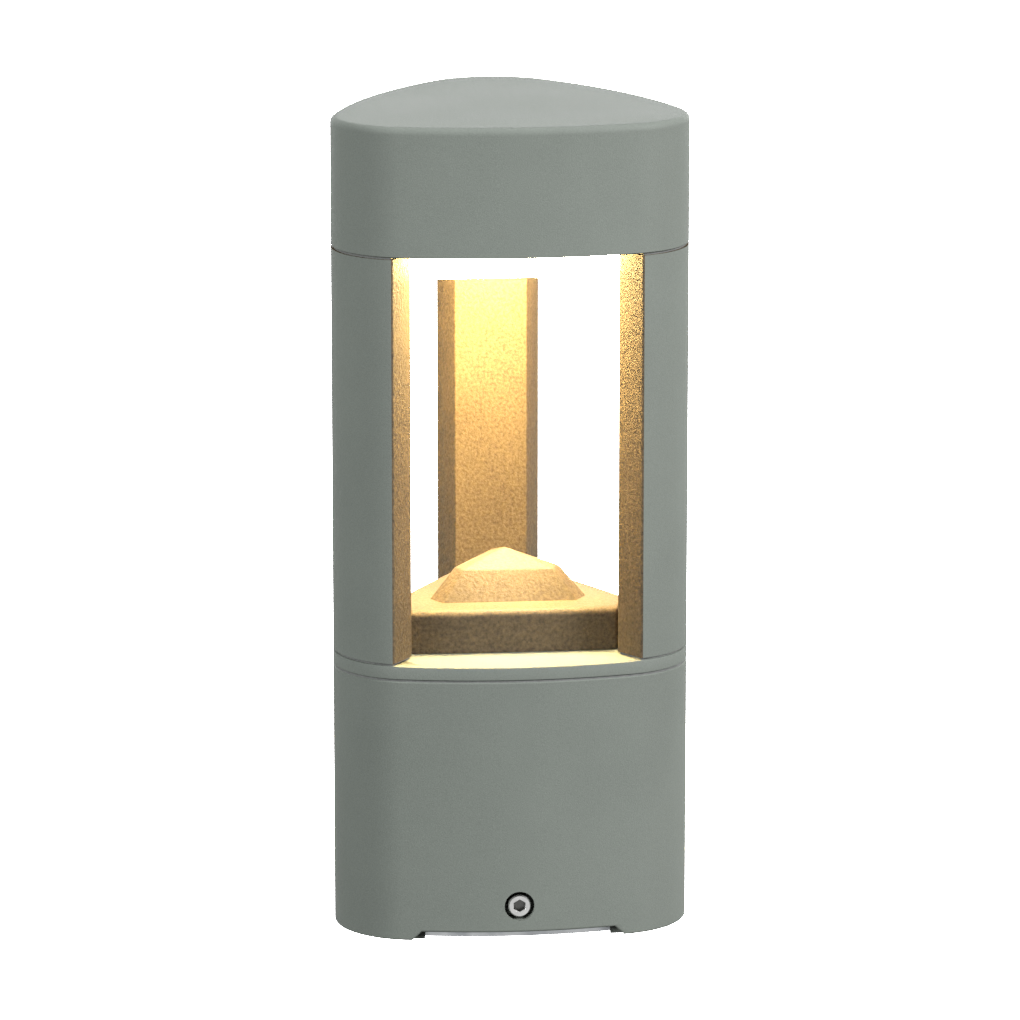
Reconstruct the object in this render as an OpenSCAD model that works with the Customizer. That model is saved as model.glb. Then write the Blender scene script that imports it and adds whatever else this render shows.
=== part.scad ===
// Garden bollard light: a rounded triangular post with three windows.
// The lamp sits in the head and shines down on a low pyramid in the open chamber.
// The origin is on the axis at ground level, +Z is up and the front side faces -Y.

/* [Body] */
// Width across the front side
body_w = 130; // [120:1:170]
// Radius of the three rounded corners
corner_r = 30; // [26:1:34]
// Radius of the three bowed sides
side_r = 170; // [150:5:260]
// Height of the base, up to the underside of the floor plate
base_h = 98; // [92:1:140]
// Height of the open windows
window_h = 150; // [110:1:240]
// Height of the head
head_h = 47; // [44:1:60]
// Wall of the base shell
base_t = 3.5; // [3:0.5:5]
// Wall of the head shell, below its ledge
head_t = 3; // [2.5:0.5:4]
// Rounding of the head's top edge
top_edge_r = 2.5; // [1:0.5:3]

/* [Uprights] */
// Width of an upright's flat inner face
upright_w = 27; // [25:0.5:32]
// Depth of an upright from the inner face to the corner
upright_depth = 19.2; // [18:0.2:23]
// Angle that each side face opens outwards
upright_splay = 26; // [20:1:32]
// Wall of the upright's extrusion
upright_t = 2.5; // [2:0.25:3]
// Diameter of the tie rods
rod_d = 6; // [5:0.5:6.5]
// Thickness of the seals at both ends of an upright
seal_t = 0.8; // [0.5:0.1:1.5]

/* [Floor and plinth] */
// Thickness of the floor plate
floor_t = 5; // [4:0.5:8]
// Height of the plinth
plinth_h = 16; // [14:1:24]
// Gap between the plinth's corners and the uprights
plinth_gap = 2.7; // [1.5:0.1:5]
// Depth of the sill in front of the plinth
sill_w = 22.8; // [20:0.2:26]
// Height of the pyramid's steep faces
pyramid_h = 10.8; // [8:0.2:16]
// Height of the pyramid's low crown
crown_h = 5; // [3:0.2:8]
// Distance of the steep faces from the axis at their foot
pyramid_in = 19; // [16:0.5:20]

/* [Lamp] */
// How far the diffuser hangs below the head
diffuser_drop = 11.5; // [8:0.5:20]
// Corner radius of the diffuser
diffuser_r = 16; // [12:1:18]
// Wall of the diffuser
diffuser_t = 2.5; // [2:0.25:3]
// Thickness of the plate that closes the head
head_plate_t = 4; // [3:0.5:6]
// Height of the heat sink's fins
fin_h = 20; // [12:1:22]

/* [Mounting] */
// Diameter of the anchor holes' circle
anchor_pcd = 90; // [84:1:100]
// Diameter of the anchor holes
anchor_d = 9; // [7:0.5:11]
// Diameter of the cable opening in the anchor plate
entry_d = 32; // [26:1:40]
// Thickness of the anchor plate
anchor_t = 4; // [3:0.5:6]
// Height of the side screws above the ground
side_screw_z = 13.3; // [13:0.1:20]
// Height of the drain slots in the foot
slot_h = 3.5; // [2:0.5:4]
// Width of the drain slots in the foot
slot_w = 78; // [50:1:84]

/* [Hidden] */
$fn = 72;
side_steps = 16;        // flats along each bowed side
corner_steps = 20;      // flats round each corner
fit = 0.3;             // gap between fixed pieces that slot together
thread_gap = 0.05;     // gap all round a screw in its thread
hole_gap = 0.3;        // gap all round a screw in its clearance hole
over = 1;              // how far a cut runs past a face
screw_sink = 0.1;      // how far a sunk screw's head sits below its surface

// Heights
gasket_t = 0.6;
shell_top = base_h - gasket_t;
floor_top = base_h + floor_t;
head_z = floor_top + window_h;
body_h = head_z + head_h;
plate_top = head_z + head_plate_t;
ledge_gasket_t = 1;
ledge_z = plate_top + ledge_gasket_t;
head_roof_t = 4;

// Plan
corner_c = (body_w / 2 - corner_r) / cos(30);
corner_apex = corner_c + corner_r;
side_c = arc_centre(corner_c, corner_r, side_r);
side_in = side_r - side_c;
upright_in = corner_apex - upright_depth;
rod_y = upright_in + 4.8;
lead_d = 5;
lead_x = 9.5;
lead_y = rod_y + 1;
port_x = -11;
port_r = 4.5;
port_join = 0.5;       // how far a screw port runs into the wall
port_y = corner_c + sqrt(pow(corner_r - base_t - port_r + port_join, 2) - port_x * port_x);

// Distance of the side arcs' centre from the axis
function arc_centre(c, r, s) = sqrt(pow(s - r, 2) - pow(c * cos(30), 2)) - c / 2;
function half_angle(c, s_c) = atan2(c * cos(30), s_c + c / 2);
function turned(p, a) = [p[0] * cos(a) - p[1] * sin(a), p[0] * sin(a) + p[1] * cos(a)];

// Repeats its children at the three corners, or at the three sides
module three() {
    for (k = [0:2]) rotate(120 * k) children();
}

// Points of an arc, without its last one
function arc(centre, r, from, sweep, steps) =
    [for (i = [0:steps - 1]) let (a = from + sweep * i / steps) centre + r * [cos(a), sin(a)]];

// Rounded triangle with corners at 90, 210 and 330 degrees: c is the distance of the corner
// centres, r the corner radius and s the radius of the bowed sides, or 0 for straight sides
module tri(c, r, s = 0) {
    e = s > 0 ? arc_centre(c, r, s) : 0;
    h = s > 0 ? half_angle(c, e) : 0;
    side = s > 0 ? arc([0, e], s, 270 - h, 2 * h, side_steps) : [];
    corner = arc(c * [cos(-30), sin(-30)], r, h - 90, 120 - 2 * h, corner_steps);
    end = s > 0 ? [] : [c * [cos(-30), sin(-30)] + r * [cos(30), sin(30)]];
    polygon([for (k = [0:2]) for (p = concat(side, corner, end)) turned(p, 120 * k)]);
}

// The body's plan, set in from its surface
module outline(inset = 0) {
    tri(corner_c, corner_r - inset, side_r - inset);
}

module tube(r_out, r_in, h) {
    difference() {
        cylinder(r = r_out, h = h);
        translate([0, 0, -over]) cylinder(r = r_in, h = h + 2 * over);
    }
}

// Screws stand upright with the underside of the head, or the flat of a sunk head, at z = 0
module cap_screw(d, l, head_d, head_h, key) {
    difference() {
        cylinder(d = head_d, h = head_h);
        translate([0, 0, head_h / 2]) cylinder(d = key / cos(30), h = head_h, $fn = 6);
    }
    translate([0, 0, -l]) cylinder(d = d, h = l);
}

module sunk_screw(d, l, head_d, key) {
    cone = (head_d - d) / 2;
    difference() {
        translate([0, 0, -cone]) cylinder(d1 = d, d2 = head_d, h = cone);
        translate([0, 0, -cone * 0.8]) cylinder(d = key / cos(30), h = cone, $fn = 6);
    }
    translate([0, 0, -l]) cylinder(d = d, h = l - cone);
}

module sunk_hole(d, head_d, l) {
    cone = (head_d - d) / 2;
    gap = 2 * thread_gap;
    translate([0, 0, -cone - screw_sink]) cylinder(d1 = d + gap, d2 = head_d + gap, h = cone);
    translate([0, 0, -screw_sink]) cylinder(d = head_d + gap, h = screw_sink + over);
    translate([0, 0, -l]) cylinder(d = d + 2 * hole_gap, h = l - screw_sink - cone / 2);
}

// ---------------------------------------------------------------- base

side_boss_r = 7.5;
side_boss_t = 5;
side_head_d = 8.5;
side_head_h = 5;
side_sink = side_head_h + fit;
side_screw_d = 5;
counterbore_d = 11;
port_l = 20;
port_d = 5;
port_head_d = 9;
port_screw_l = 18;

module base_shell() color("#808880") difference() {
    union() {
        linear_extrude(shell_top) difference() {
            outline();
            outline(base_t);
        }
        three() {
            intersection() {
                translate([0, -side_in + base_t / 2, side_screw_z]) rotate([-90, 0, 0])
                    cylinder(r = side_boss_r, h = side_boss_t + base_t / 2);
                linear_extrude(shell_top) outline(base_t / 2);
            }
            translate([port_x, port_y, shell_top - port_l]) cylinder(r = port_r, h = port_l);
        }
    }
    three() {
        translate([0, -side_in, side_screw_z]) rotate([-90, 0, 0]) {
            translate([0, 0, -over]) cylinder(d = counterbore_d, h = side_sink + over);
            cylinder(d = side_screw_d + 2 * hole_gap, h = 2 * side_boss_t + base_t);
        }
        translate([0, -side_in + 2 * base_t, 0]) rotate([90, 0, 0]) linear_extrude(4 * base_t)
            polygon([
                [-slot_w / 2, -over], [slot_w / 2, -over], [slot_w / 2, 0],
                [slot_w / 2 - slot_h, slot_h], [slot_h - slot_w / 2, slot_h], [-slot_w / 2, 0]
            ]);
        translate([port_x, port_y, shell_top - port_l + 2])
            cylinder(d = port_d + 2 * thread_gap, h = port_l);
    }
}

module base_gasket() color("#1c1c1c") translate([0, 0, shell_top]) linear_extrude(gasket_t) difference() {
    outline(0.5);
    outline(base_t);
    three() translate([port_x, port_y]) circle(port_r + fit);
}

module side_screws() color("#c8c8c4") three()
    translate([0, -side_in + side_sink, side_screw_z]) rotate([90, 0, 0])
        cap_screw(side_screw_d, 12, side_head_d, side_head_h, 4);

ear_w = 24;
ear_t = 4;
ear_h = 18;
ear_y = side_in - base_t - side_boss_t - fit;

module anchor_plate() color("#9a9c9a") linear_extrude(anchor_t) difference() {
    outline(base_t + 3.5);
    circle(d = entry_d);
    three() translate([0, anchor_pcd / 2]) circle(d = anchor_d);
}

// Ears welded to the anchor plate, which take the side screws
module anchor_ears() color("#9a9c9a") three() difference() {
    translate([-ear_w / 2, -ear_y, anchor_t]) cube([ear_w, ear_t, ear_h]);
    translate([0, -ear_y - over, side_screw_z]) rotate([-90, 0, 0])
        cylinder(d = side_screw_d + 2 * thread_gap, h = ear_t + 2 * over);
}

// ---------------------------------------------------------------- floor plate, plinth and pyramid

plinth_screw_d = 4;
plinth_screw_c = upright_in - 15;
bracket_boss = [24, 18];
bracket_boss_h = 4;
small_screw_d = 4;
grommet_r = 3.4;

module floor_plate() color("#889088") difference() {
    union() {
        translate([0, 0, base_h]) linear_extrude(floor_t) outline();
        for (x = [-1, 1]) translate([x * bracket_boss[0], bracket_boss[1], base_h - bracket_boss_h])
            cylinder(r = 5, h = bracket_boss_h + 1);
    }
    three() {
        translate([0, rod_y, base_h - over]) cylinder(d = rod_d + 2 * hole_gap, h = floor_t + 2 * over);
        translate([port_x, port_y, floor_top]) sunk_hole(port_d, port_head_d, 2 * floor_t);
        translate([0, plinth_screw_c, base_h - over])
            cylinder(d = plinth_screw_d + 2 * hole_gap, h = floor_t + 2 * over);
    }
    translate([lead_x, lead_y, base_h - over]) cylinder(r = grommet_r + thread_gap, h = floor_t + 2 * over);
    for (x = [-1, 1]) translate([x * bracket_boss[0], bracket_boss[1], base_h - bracket_boss_h - over])
        cylinder(d = small_screw_d + 2 * thread_gap, h = 8 + over);
}

module floor_plate_screws() color("#b8b8b4") three()
    translate([port_x, port_y, floor_top - screw_sink]) sunk_screw(port_d, port_screw_l, port_head_d, 3);

plinth_face = upright_in - plinth_gap;       // flat across each corner
plinth_face_w = 15;
plinth_mid = side_in - sill_w;               // middle of the bowed front
plinth_edge = 2.7;                           // sloped top edge
plinth_t = 3;
plinth_boss_r = 5;

function plinth_corner(inset) = [
    (plinth_face - inset) * cos(30) - (plinth_face_w / 2 - inset / 2) * sin(30),
    -(plinth_face - inset) * sin(30) - (plinth_face_w / 2 - inset / 2) * cos(30)
];

module plinth_plan(inset) {
    a = plinth_corner(inset);
    rise = plinth_mid - inset + a[1];
    bow_r = (a[0] * a[0] + rise * rise) / (2 * rise);
    polygon([for (k = [0:2]) each [turned([-a[0], a[1]], 120 * k), turned(a, 120 * k)]]);
    three() intersection() {
        translate([0, bow_r - plinth_mid + inset]) circle(bow_r, $fn = 360);
        polygon([[-a[0], a[1]], [-a[0], a[1] - 20], [a[0], a[1] - 20], a]);
    }
}

module plinth() color("#8a8f88") translate([0, 0, floor_top]) difference() {
    hull() {
        linear_extrude(plinth_h - plinth_edge) plinth_plan(0);
        linear_extrude(plinth_h) plinth_plan(plinth_edge);
    }
    difference() {
        translate([0, 0, -over]) linear_extrude(plinth_h - plinth_edge - plinth_t + over)
            plinth_plan(plinth_t);
        three() translate([0, plinth_screw_c, -2 * over]) cylinder(r = plinth_boss_r, h = plinth_h);
        translate([0, 0, plinth_h / 2]) cylinder(r = 9, h = plinth_h);
    }
    three() translate([0, plinth_screw_c, -over])
        cylinder(d = plinth_screw_d + 2 * thread_gap, h = plinth_h - plinth_edge);
    translate([0, 0, -over]) cylinder(d = pyramid_screw_d + 2 * hole_gap, h = plinth_h + 2 * over);
}

module plinth_screws() color("#b8b8b4") three() translate([0, plinth_screw_c, base_h])
    mirror([0, 0, 1]) cap_screw(plinth_screw_d, 15, 7, 3, 3);

pyramid_screw_d = 5;
pyramid_slope = 60;
corner_cut = 0.44;     // length cut from each end of a side, per distance from the axis
crown_r = 1;

// Triangle with its corners cut, where inr is the distance of its sides from the axis
module cut_triangle(inr) {
    x = inr * (sqrt(3) - corner_cut);
    polygon([for (k = [0:2]) each [turned([-x, -inr], 120 * k), turned([x, -inr], 120 * k)]]);
}

module pyramid() color("#8a8f88") translate([0, 0, floor_top + plinth_h]) {
    shoulder_in = pyramid_in - pyramid_h / tan(pyramid_slope);
    skin = 0.01;
    difference() {
        union() {
            hull() {
                linear_extrude(skin) cut_triangle(pyramid_in);
                translate([0, 0, pyramid_h - skin]) linear_extrude(skin) cut_triangle(shoulder_in);
            }
            hull() {
                translate([0, 0, pyramid_h - skin]) linear_extrude(skin) cut_triangle(shoulder_in);
                translate([0, 0, pyramid_h + crown_h - skin]) linear_extrude(skin) cut_triangle(crown_r);
            }
        }
        translate([0, 0, -over]) cylinder(d = pyramid_screw_d + 2 * thread_gap, h = pyramid_h);
    }
}

module pyramid_screw() color("#b8b8b4") translate([0, 0, floor_top + plinth_h / 2]) mirror([0, 0, 1])
    cap_screw(pyramid_screw_d, plinth_h / 2 + 8, 8.5, 4, 4);

// ---------------------------------------------------------------- uprights and tie rods

rod_core_r = 5;
upright_z = floor_top + seal_t;
upright_h = window_h - 2 * seal_t;

// Wedge that cuts an upright out of the body's plan, set in from its faces
module wedge(inset = 0) {
    y0 = upright_in + inset;
    y1 = corner_apex + over;
    side = upright_w / 2 - inset / cos(upright_splay);
    x0 = side + inset * tan(upright_splay);
    x1 = side + (y1 - upright_in) * tan(upright_splay);
    polygon([[-x0, y0], [x0, y0], [x1, y1], [-x1, y1]]);
}

module upright_plan(inset = 0) {
    intersection() {
        outline(inset);
        wedge(inset);
    }
}

module upright() {
    translate([0, 0, upright_z]) linear_extrude(upright_h) difference() {
        upright_plan();
        difference() {
            upright_plan(upright_t);
            translate([0, rod_y]) circle(rod_core_r);
            translate([-1.25, rod_y]) square([2.5, upright_depth]);
        }
        translate([0, rod_y]) circle(d = rod_d + 2 * hole_gap);
    }
}

module upright_back() color("#78806f") upright();

module upright_left() color("#808880") rotate(120) upright();

module upright_right() color("#8c948c") rotate(240) upright();

module seal_plan() {
    difference() {
        upright_plan(1);
        translate([0, rod_y]) circle(d = rod_d + 2 * hole_gap);
        translate([lead_x, lead_y]) circle(d = lead_d + 2 * fit);
    }
}

module upright_foot_seals() color("#1c1c1c") translate([0, 0, floor_top]) three()
    linear_extrude(seal_t) seal_plan();

module upright_head_seals() color("#1c1c1c") translate([0, 0, head_z - seal_t]) three()
    linear_extrude(seal_t) seal_plan();

washer_t = 1.6;
nut_h = 5;
nut_w = 10;
rod_grip = 20;
rod_foot = base_h - washer_t - nut_h - 3;

module tie_rods() color("#b8b8b4") three() translate([0, rod_y, rod_foot])
    cylinder(d = rod_d, h = ledge_z + rod_grip - rod_foot);

module tie_rod_washers() color("#b8b8b4") three() translate([0, rod_y, base_h - washer_t])
    tube(rod_d, rod_d / 2 + hole_gap, washer_t);

module tie_rod_nuts() color("#b8b8b4") three() translate([0, rod_y, base_h - washer_t - nut_h]) difference() {
    cylinder(d = nut_w / cos(30), h = nut_h, $fn = 6);
    translate([0, 0, -over]) cylinder(d = rod_d + 2 * thread_gap, h = nut_h + 2 * over);
}

// ---------------------------------------------------------------- head

ledge_t = 3.5;
ledge_inset = head_t + ledge_t;
rod_boss_r = 6.5;
sink_ledge_gap = 1.15;  // how far the heat sink stays clear of the holding ring
sink_r = side_in - ledge_inset - sink_ledge_gap;
plate_screw_in = 11.6;  // how far the plate screws lie in from the side
plate_screw_y = side_in - plate_screw_in;
plate_boss_r = 4.5;
plate_screw_x = sqrt(pow(sink_r + plate_boss_r + 1, 2) - pow(plate_screw_y, 2));
plate_screw_d = 4;
plate_head_d = 8;

module plate_screw_places() {
    three() for (x = [-1, 1]) translate([x * plate_screw_x, -plate_screw_y]) children();
}

module head_shell() color("#a8b0a8") difference() {
    translate([0, 0, head_z]) hull() {
        linear_extrude(head_h - top_edge_r) outline();
        for (a = [22.5:22.5:90])
            linear_extrude(head_h - top_edge_r * (1 - sin(a))) outline(top_edge_r * (1 - cos(a)));
    }
    translate([0, 0, head_z - over]) linear_extrude(ledge_z - head_z + over) outline(head_t);
    difference() {
        translate([0, 0, ledge_z - over]) linear_extrude(body_h - head_roof_t - ledge_z + over)
            outline(ledge_inset);
        translate([0, 0, ledge_z]) {
            three() {
                translate([0, rod_y]) cylinder(r = rod_boss_r, h = head_h);
                translate([-3, rod_y, 0]) cube([6, upright_depth, head_h]);
            }
            plate_screw_places() cylinder(r = plate_boss_r, h = 16);
        }
    }
    translate([0, 0, ledge_z - over]) {
        three() translate([0, rod_y]) cylinder(d = rod_d + 2 * thread_gap, h = rod_grip + 2 + over);
        plate_screw_places() cylinder(d = plate_screw_d + 2 * thread_gap, h = 13 + over);
    }
}

diffuser_c = upright_in - 5.2 - diffuser_r;
diffuser_in = diffuser_c / 2 + diffuser_r;
flange_w = 3;
flange_t = 2.5;
clamp_t = 2;
clamp_ring_w = 3;
flange_z = plate_top + ledge_gasket_t;
clamp_z = flange_z + flange_t;
sink_z = clamp_z + clamp_t;
sink_t = 5;
sink_screw_c = sink_r - 4;
sink_boss_r = 4.2;

module head_plate() color("#889088") difference() {
    union() {
        translate([0, 0, head_z]) linear_extrude(head_plate_t) difference() {
            outline(head_t + fit);
            tri(diffuser_c, diffuser_r + fit);
        }
        rotate(180) three() translate([0, sink_screw_c, head_z])
            cylinder(r = sink_boss_r, h = clamp_z - head_z);
    }
    three() translate([0, rod_y, head_z - over])
        cylinder(d = rod_d + 2 * hole_gap, h = head_plate_t + 2 * over);
    translate([0, 0, head_z]) mirror([0, 0, 1]) plate_screw_places()
        sunk_hole(plate_screw_d, plate_head_d, 2 * head_plate_t);
    translate([lead_x, lead_y, head_z - over])
        cylinder(r = grommet_r + thread_gap, h = head_plate_t + 2 * over);
    rotate(180) three() translate([0, sink_screw_c, head_z + 1])
        cylinder(d = small_screw_d + 2 * thread_gap, h = 2 * head_plate_t);
}

module head_plate_gasket() color("#1c1c1c") translate([0, 0, plate_top]) linear_extrude(ledge_gasket_t)
    difference() {
        outline(head_t + fit);
        outline(ledge_inset);
    }

module head_plate_screws() color("#b8b8b4") translate([0, 0, head_z + screw_sink]) plate_screw_places()
    mirror([0, 0, 1]) sunk_screw(plate_screw_d, 14, plate_head_d, 2.5);

module diffuser() color("#fff6e0") {
    bottom = head_z - diffuser_drop;
    difference() {
        union() {
            translate([0, 0, bottom]) linear_extrude(clamp_z - bottom) tri(diffuser_c, diffuser_r);
            translate([0, 0, flange_z]) linear_extrude(flange_t) tri(diffuser_c, diffuser_r + flange_w);
        }
        translate([0, 0, bottom + diffuser_t]) linear_extrude(clamp_z - bottom)
            tri(diffuser_c, diffuser_r - diffuser_t);
    }
}

module diffuser_gasket() color("#1c1c1c") translate([0, 0, plate_top]) linear_extrude(ledge_gasket_t)
    difference() {
        tri(diffuser_c, diffuser_r + flange_w);
        tri(diffuser_c, diffuser_r + fit);
    }

module diffuser_clamp() color("#a0a4a4") translate([0, 0, clamp_z]) linear_extrude(clamp_t) difference() {
    circle(sink_r);
    intersection() {
        tri(diffuser_c, diffuser_r - diffuser_t);
        circle(sink_r - clamp_ring_w);
    }
    rotate(180) three() translate([0, sink_screw_c]) circle(d = small_screw_d + 2 * hole_gap);
}

fin_pitch = 9;
fin_t = 2;
fins_r = sink_screw_c - 5.5;
board_t = 1.6;
board_r = diffuser_in - 6;
board_screw_c = board_r - 4;
board_screw_d = 3;
lead_down_y = 18;
lead_slot_w = lead_d + 1;
lead_bend = 8;

module heat_sink() color("#b0b4b4") translate([0, 0, sink_z]) difference() {
    union() {
        cylinder(r = sink_r, h = sink_t);
        intersection() {
            cylinder(r = fins_r, h = sink_t + fin_h);
            for (x = [-3.5:1:3.5])
                translate([x * fin_pitch - fin_t / 2, -sink_r, 0]) cube([fin_t, 2 * sink_r, sink_t + fin_h]);
        }
    }
    rotate(180) three() {
        translate([0, sink_screw_c, -over]) cylinder(d = small_screw_d + 2 * hole_gap, h = sink_t + 2 * over);
    }
    translate([lead_x, lead_down_y, -over]) cylinder(d = lead_slot_w, h = sink_t + 2 * over);
    translate([lead_x - lead_slot_w / 2, lead_down_y, -over]) cube([lead_slot_w, 6, sink_t + 2 * over]);
    rotate(180) three() translate([0, board_screw_c, -over])
        cylinder(d = board_screw_d + 2 * thread_gap, h = sink_t - 1 + over);
}

module heat_sink_screws() color("#b8b8b4") rotate(180) three()
    translate([0, sink_screw_c, sink_z + sink_t]) cap_screw(small_screw_d, 13, 7, 3, 3);

module led_board() color("#e8e8e0") translate([0, 0, sink_z - board_t]) linear_extrude(board_t) difference() {
    circle(board_r);
    rotate(180) three() translate([0, board_screw_c]) circle(d = board_screw_d + 2 * hole_gap);
}

emitter_r = 9.5;
emitter_t = 1.2;

module led_emitter() color("#f4d060") translate([0, 0, sink_z - board_t - emitter_t])
    cylinder(r = emitter_r, h = emitter_t);

module led_board_screws() color("#b8b8b4") rotate(180) three()
    translate([0, board_screw_c, sink_z - board_t]) mirror([0, 0, 1])
        cap_screw(board_screw_d, 5, 5.5, 2, 2);

cup_h = 9;

module reflector_cup() color("#f0f0ec") translate([0, 0, sink_z - board_t - cup_h]) difference() {
    cylinder(r1 = board_screw_c - 3.5, r2 = emitter_r + 2, h = cup_h);
    translate([0, 0, -0.01]) cylinder(r1 = board_screw_c - 5, r2 = emitter_r + fit, h = cup_h + 0.02);
}

// ---------------------------------------------------------------- wiring

driver_size = [56, 24, 50];
bracket_t = 2;
bracket_y = 8;
driver_y = bracket_y + bracket_t;
driver_z = base_h - 64;
lead_z = driver_z + 36;
lead_top = sink_z;

// Quarter bend of the lead in the plane x = 0, centred at [y, z] and starting at angle a
module lead_quarter(y, z, a) {
    translate([0, y, z]) rotate([90, 0, 90]) rotate(a)
        rotate_extrude(angle = 90) translate([lead_bend, 0]) circle(d = lead_d);
}

module led_lead() color("#202020") translate([lead_x, 0, 0]) {
    back = driver_y + driver_size[1];
    turn_y = lead_y - lead_bend;
    translate([0, back, lead_z]) rotate([-90, 0, 0]) cylinder(d = lead_d, h = turn_y - back);
    lead_quarter(turn_y, lead_z + lead_bend, 270);
    translate([0, lead_y, lead_z + lead_bend]) cylinder(d = lead_d, h = lead_top - lead_z - lead_bend);
    lead_quarter(turn_y, lead_top, 0);
    translate([0, lead_down_y + lead_bend, lead_top + lead_bend]) rotate([-90, 0, 0])
        cylinder(d = lead_d, h = turn_y - lead_down_y - lead_bend);
    lead_quarter(lead_down_y + lead_bend, lead_top, 90);
}

module lead_grommets() color("#1c1c1c") for (level = [[base_h, floor_t], [head_z, head_plate_t]])
    translate([lead_x, lead_y, level[0]]) tube(grommet_r, lead_d / 2 + thread_gap, level[1]);

box_size = [50, 28, 34];
box_y = bracket_y - box_size[1];
box_z = base_h - 54;
box_t = 2.5;
link_z = box_z + 18;
link_out = 4;
link_box_y = box_y + box_size[1] / 2;
link_driver_y = driver_y + driver_size[1] / 2;

module mains_link() color("#202020") {
    turn_x = -driver_size[0] / 2 - link_out;
    r = (link_driver_y - link_box_y) / 2;
    translate([turn_x, link_driver_y, link_z]) rotate([0, 90, 0])
        cylinder(d = lead_d, h = -driver_size[0] / 2 - turn_x);
    translate([turn_x, link_box_y + r, link_z]) rotate(90) rotate_extrude(angle = 180)
        translate([r, 0]) circle(d = lead_d);
    translate([turn_x, link_box_y, link_z]) rotate([0, 90, 0])
        cylinder(d = lead_d, h = -box_size[0] / 2 - turn_x);
}

bracket_w = 66;
bracket_depth = 20;
bracket_top = base_h - bracket_boss_h;
bracket_foot = driver_z - 4;

module bracket() color("#a0a4a4") difference() {
    union() {
        translate([-bracket_w / 2, bracket_y, bracket_foot])
            cube([bracket_w, bracket_t, bracket_top - bracket_foot]);
        translate([-bracket_w / 2, bracket_y, bracket_top - bracket_t])
            cube([bracket_w, bracket_depth, bracket_t]);
    }
    for (x = [-1, 1]) {
        translate([x * bracket_boss[0], bracket_boss[1], bracket_top - bracket_t - over])
            cylinder(d = small_screw_d + 2 * hole_gap, h = bracket_t + 2 * over);
        translate([x * driver_lug_x, bracket_y - over, driver_z + driver_size[2] / 2]) rotate([-90, 0, 0])
            cylinder(d = lug_screw_d + 2 * thread_gap, h = bracket_t + 2 * over);
        translate([x * box_screw_x, bracket_y - over, box_z + box_size[2] / 2]) rotate([-90, 0, 0])
            cylinder(d = lug_screw_d + 2 * thread_gap, h = bracket_t + 2 * over);
    }
}

module bracket_screws() color("#b8b8b4") for (x = [-1, 1])
    translate([x * bracket_boss[0], bracket_boss[1], bracket_top - bracket_t]) mirror([0, 0, 1])
        cap_screw(small_screw_d, 9, 7, 3, 3);

lug_screw_d = 3;
driver_lug_x = driver_size[0] / 2 - 4;
driver_lug_t = 3;

module driver_case() color("#e4e4e0") difference() {
    union() {
        translate([-driver_size[0] / 2 + 8, driver_y, driver_z])
            cube([driver_size[0] - 16, driver_size[1], driver_size[2]]);
        translate([-driver_size[0] / 2, driver_y, driver_z])
            cube([driver_size[0], driver_lug_t, driver_size[2]]);
        translate([-driver_size[0] / 2, link_driver_y - 5, link_z - 5]) cube([10, 10, 10]);
    }
    for (x = [-1, 1]) translate([x * driver_lug_x, driver_y - over, driver_z + driver_size[2] / 2])
        rotate([-90, 0, 0]) cylinder(d = lug_screw_d + 2 * hole_gap, h = driver_lug_t + 2 * over);
}

module driver_screws() color("#b8b8b4") for (x = [-1, 1])
    translate([x * driver_lug_x, driver_y + driver_lug_t, driver_z + driver_size[2] / 2])
        rotate([-90, 0, 0]) cap_screw(lug_screw_d, driver_lug_t + bracket_t, 5.5, 2, 2);

box_screw_x = 12;
gland_thread_d = 16;
lid_t = 2.5;
lid_screw_x = box_size[0] / 2 - 4;

module connection_box() color("#c8ccc8") difference() {
    translate([-box_size[0] / 2, box_y + lid_t, box_z])
        cube([box_size[0], box_size[1] - lid_t, box_size[2]]);
    difference() {
        translate([-box_size[0] / 2 + box_t, box_y, box_z + box_t])
            cube([box_size[0] - 2 * box_t, box_size[1] - box_t, box_size[2] - 2 * box_t]);
        for (x = [-1, 1], z = [4, box_size[2] - 4])
            translate([x * lid_screw_x, box_y - over, box_z + z]) rotate([-90, 0, 0])
                cylinder(r = 3.5, h = box_size[1]);
    }
    translate([0, box_y + box_size[1] / 2, box_z - over])
        cylinder(d = gland_thread_d + 2 * thread_gap, h = box_t + 2 * over);
    for (x = [-1, 1])
        translate([x * box_screw_x, box_y + box_size[1] - box_t - over, box_z + box_size[2] / 2])
            rotate([-90, 0, 0]) cylinder(d = lug_screw_d + 2 * hole_gap, h = box_t + 2 * over);
    for (x = [-1, 1], z = [4, box_size[2] - 4])
        translate([x * lid_screw_x, box_y, box_z + z]) rotate([-90, 0, 0])
            cylinder(d = lug_screw_d + 2 * thread_gap, h = 14);
}

module box_screws() color("#b8b8b4") for (x = [-1, 1])
    translate([x * box_screw_x, box_y + box_size[1] - box_t, box_z + box_size[2] / 2])
        rotate([90, 0, 0]) cap_screw(lug_screw_d, box_t + bracket_t, 5.5, 2, 2);

module connection_box_lid() color("#c8ccc8") difference() {
    translate([-box_size[0] / 2, box_y, box_z]) cube([box_size[0], lid_t, box_size[2]]);
    for (x = [-1, 1], z = [4, box_size[2] - 4])
        translate([x * lid_screw_x, box_y - over, box_z + z]) rotate([-90, 0, 0])
            cylinder(d = lug_screw_d + 2 * hole_gap, h = lid_t + 2 * over);
}

module box_lid_screws() color("#b8b8b4") for (x = [-1, 1], z = [4, box_size[2] - 4])
    translate([x * lid_screw_x, box_y, box_z + z]) rotate([90, 0, 0])
        cap_screw(lug_screw_d, 12, 5.5, 2, 2);

terminal = [30, 12, 13];

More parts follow.
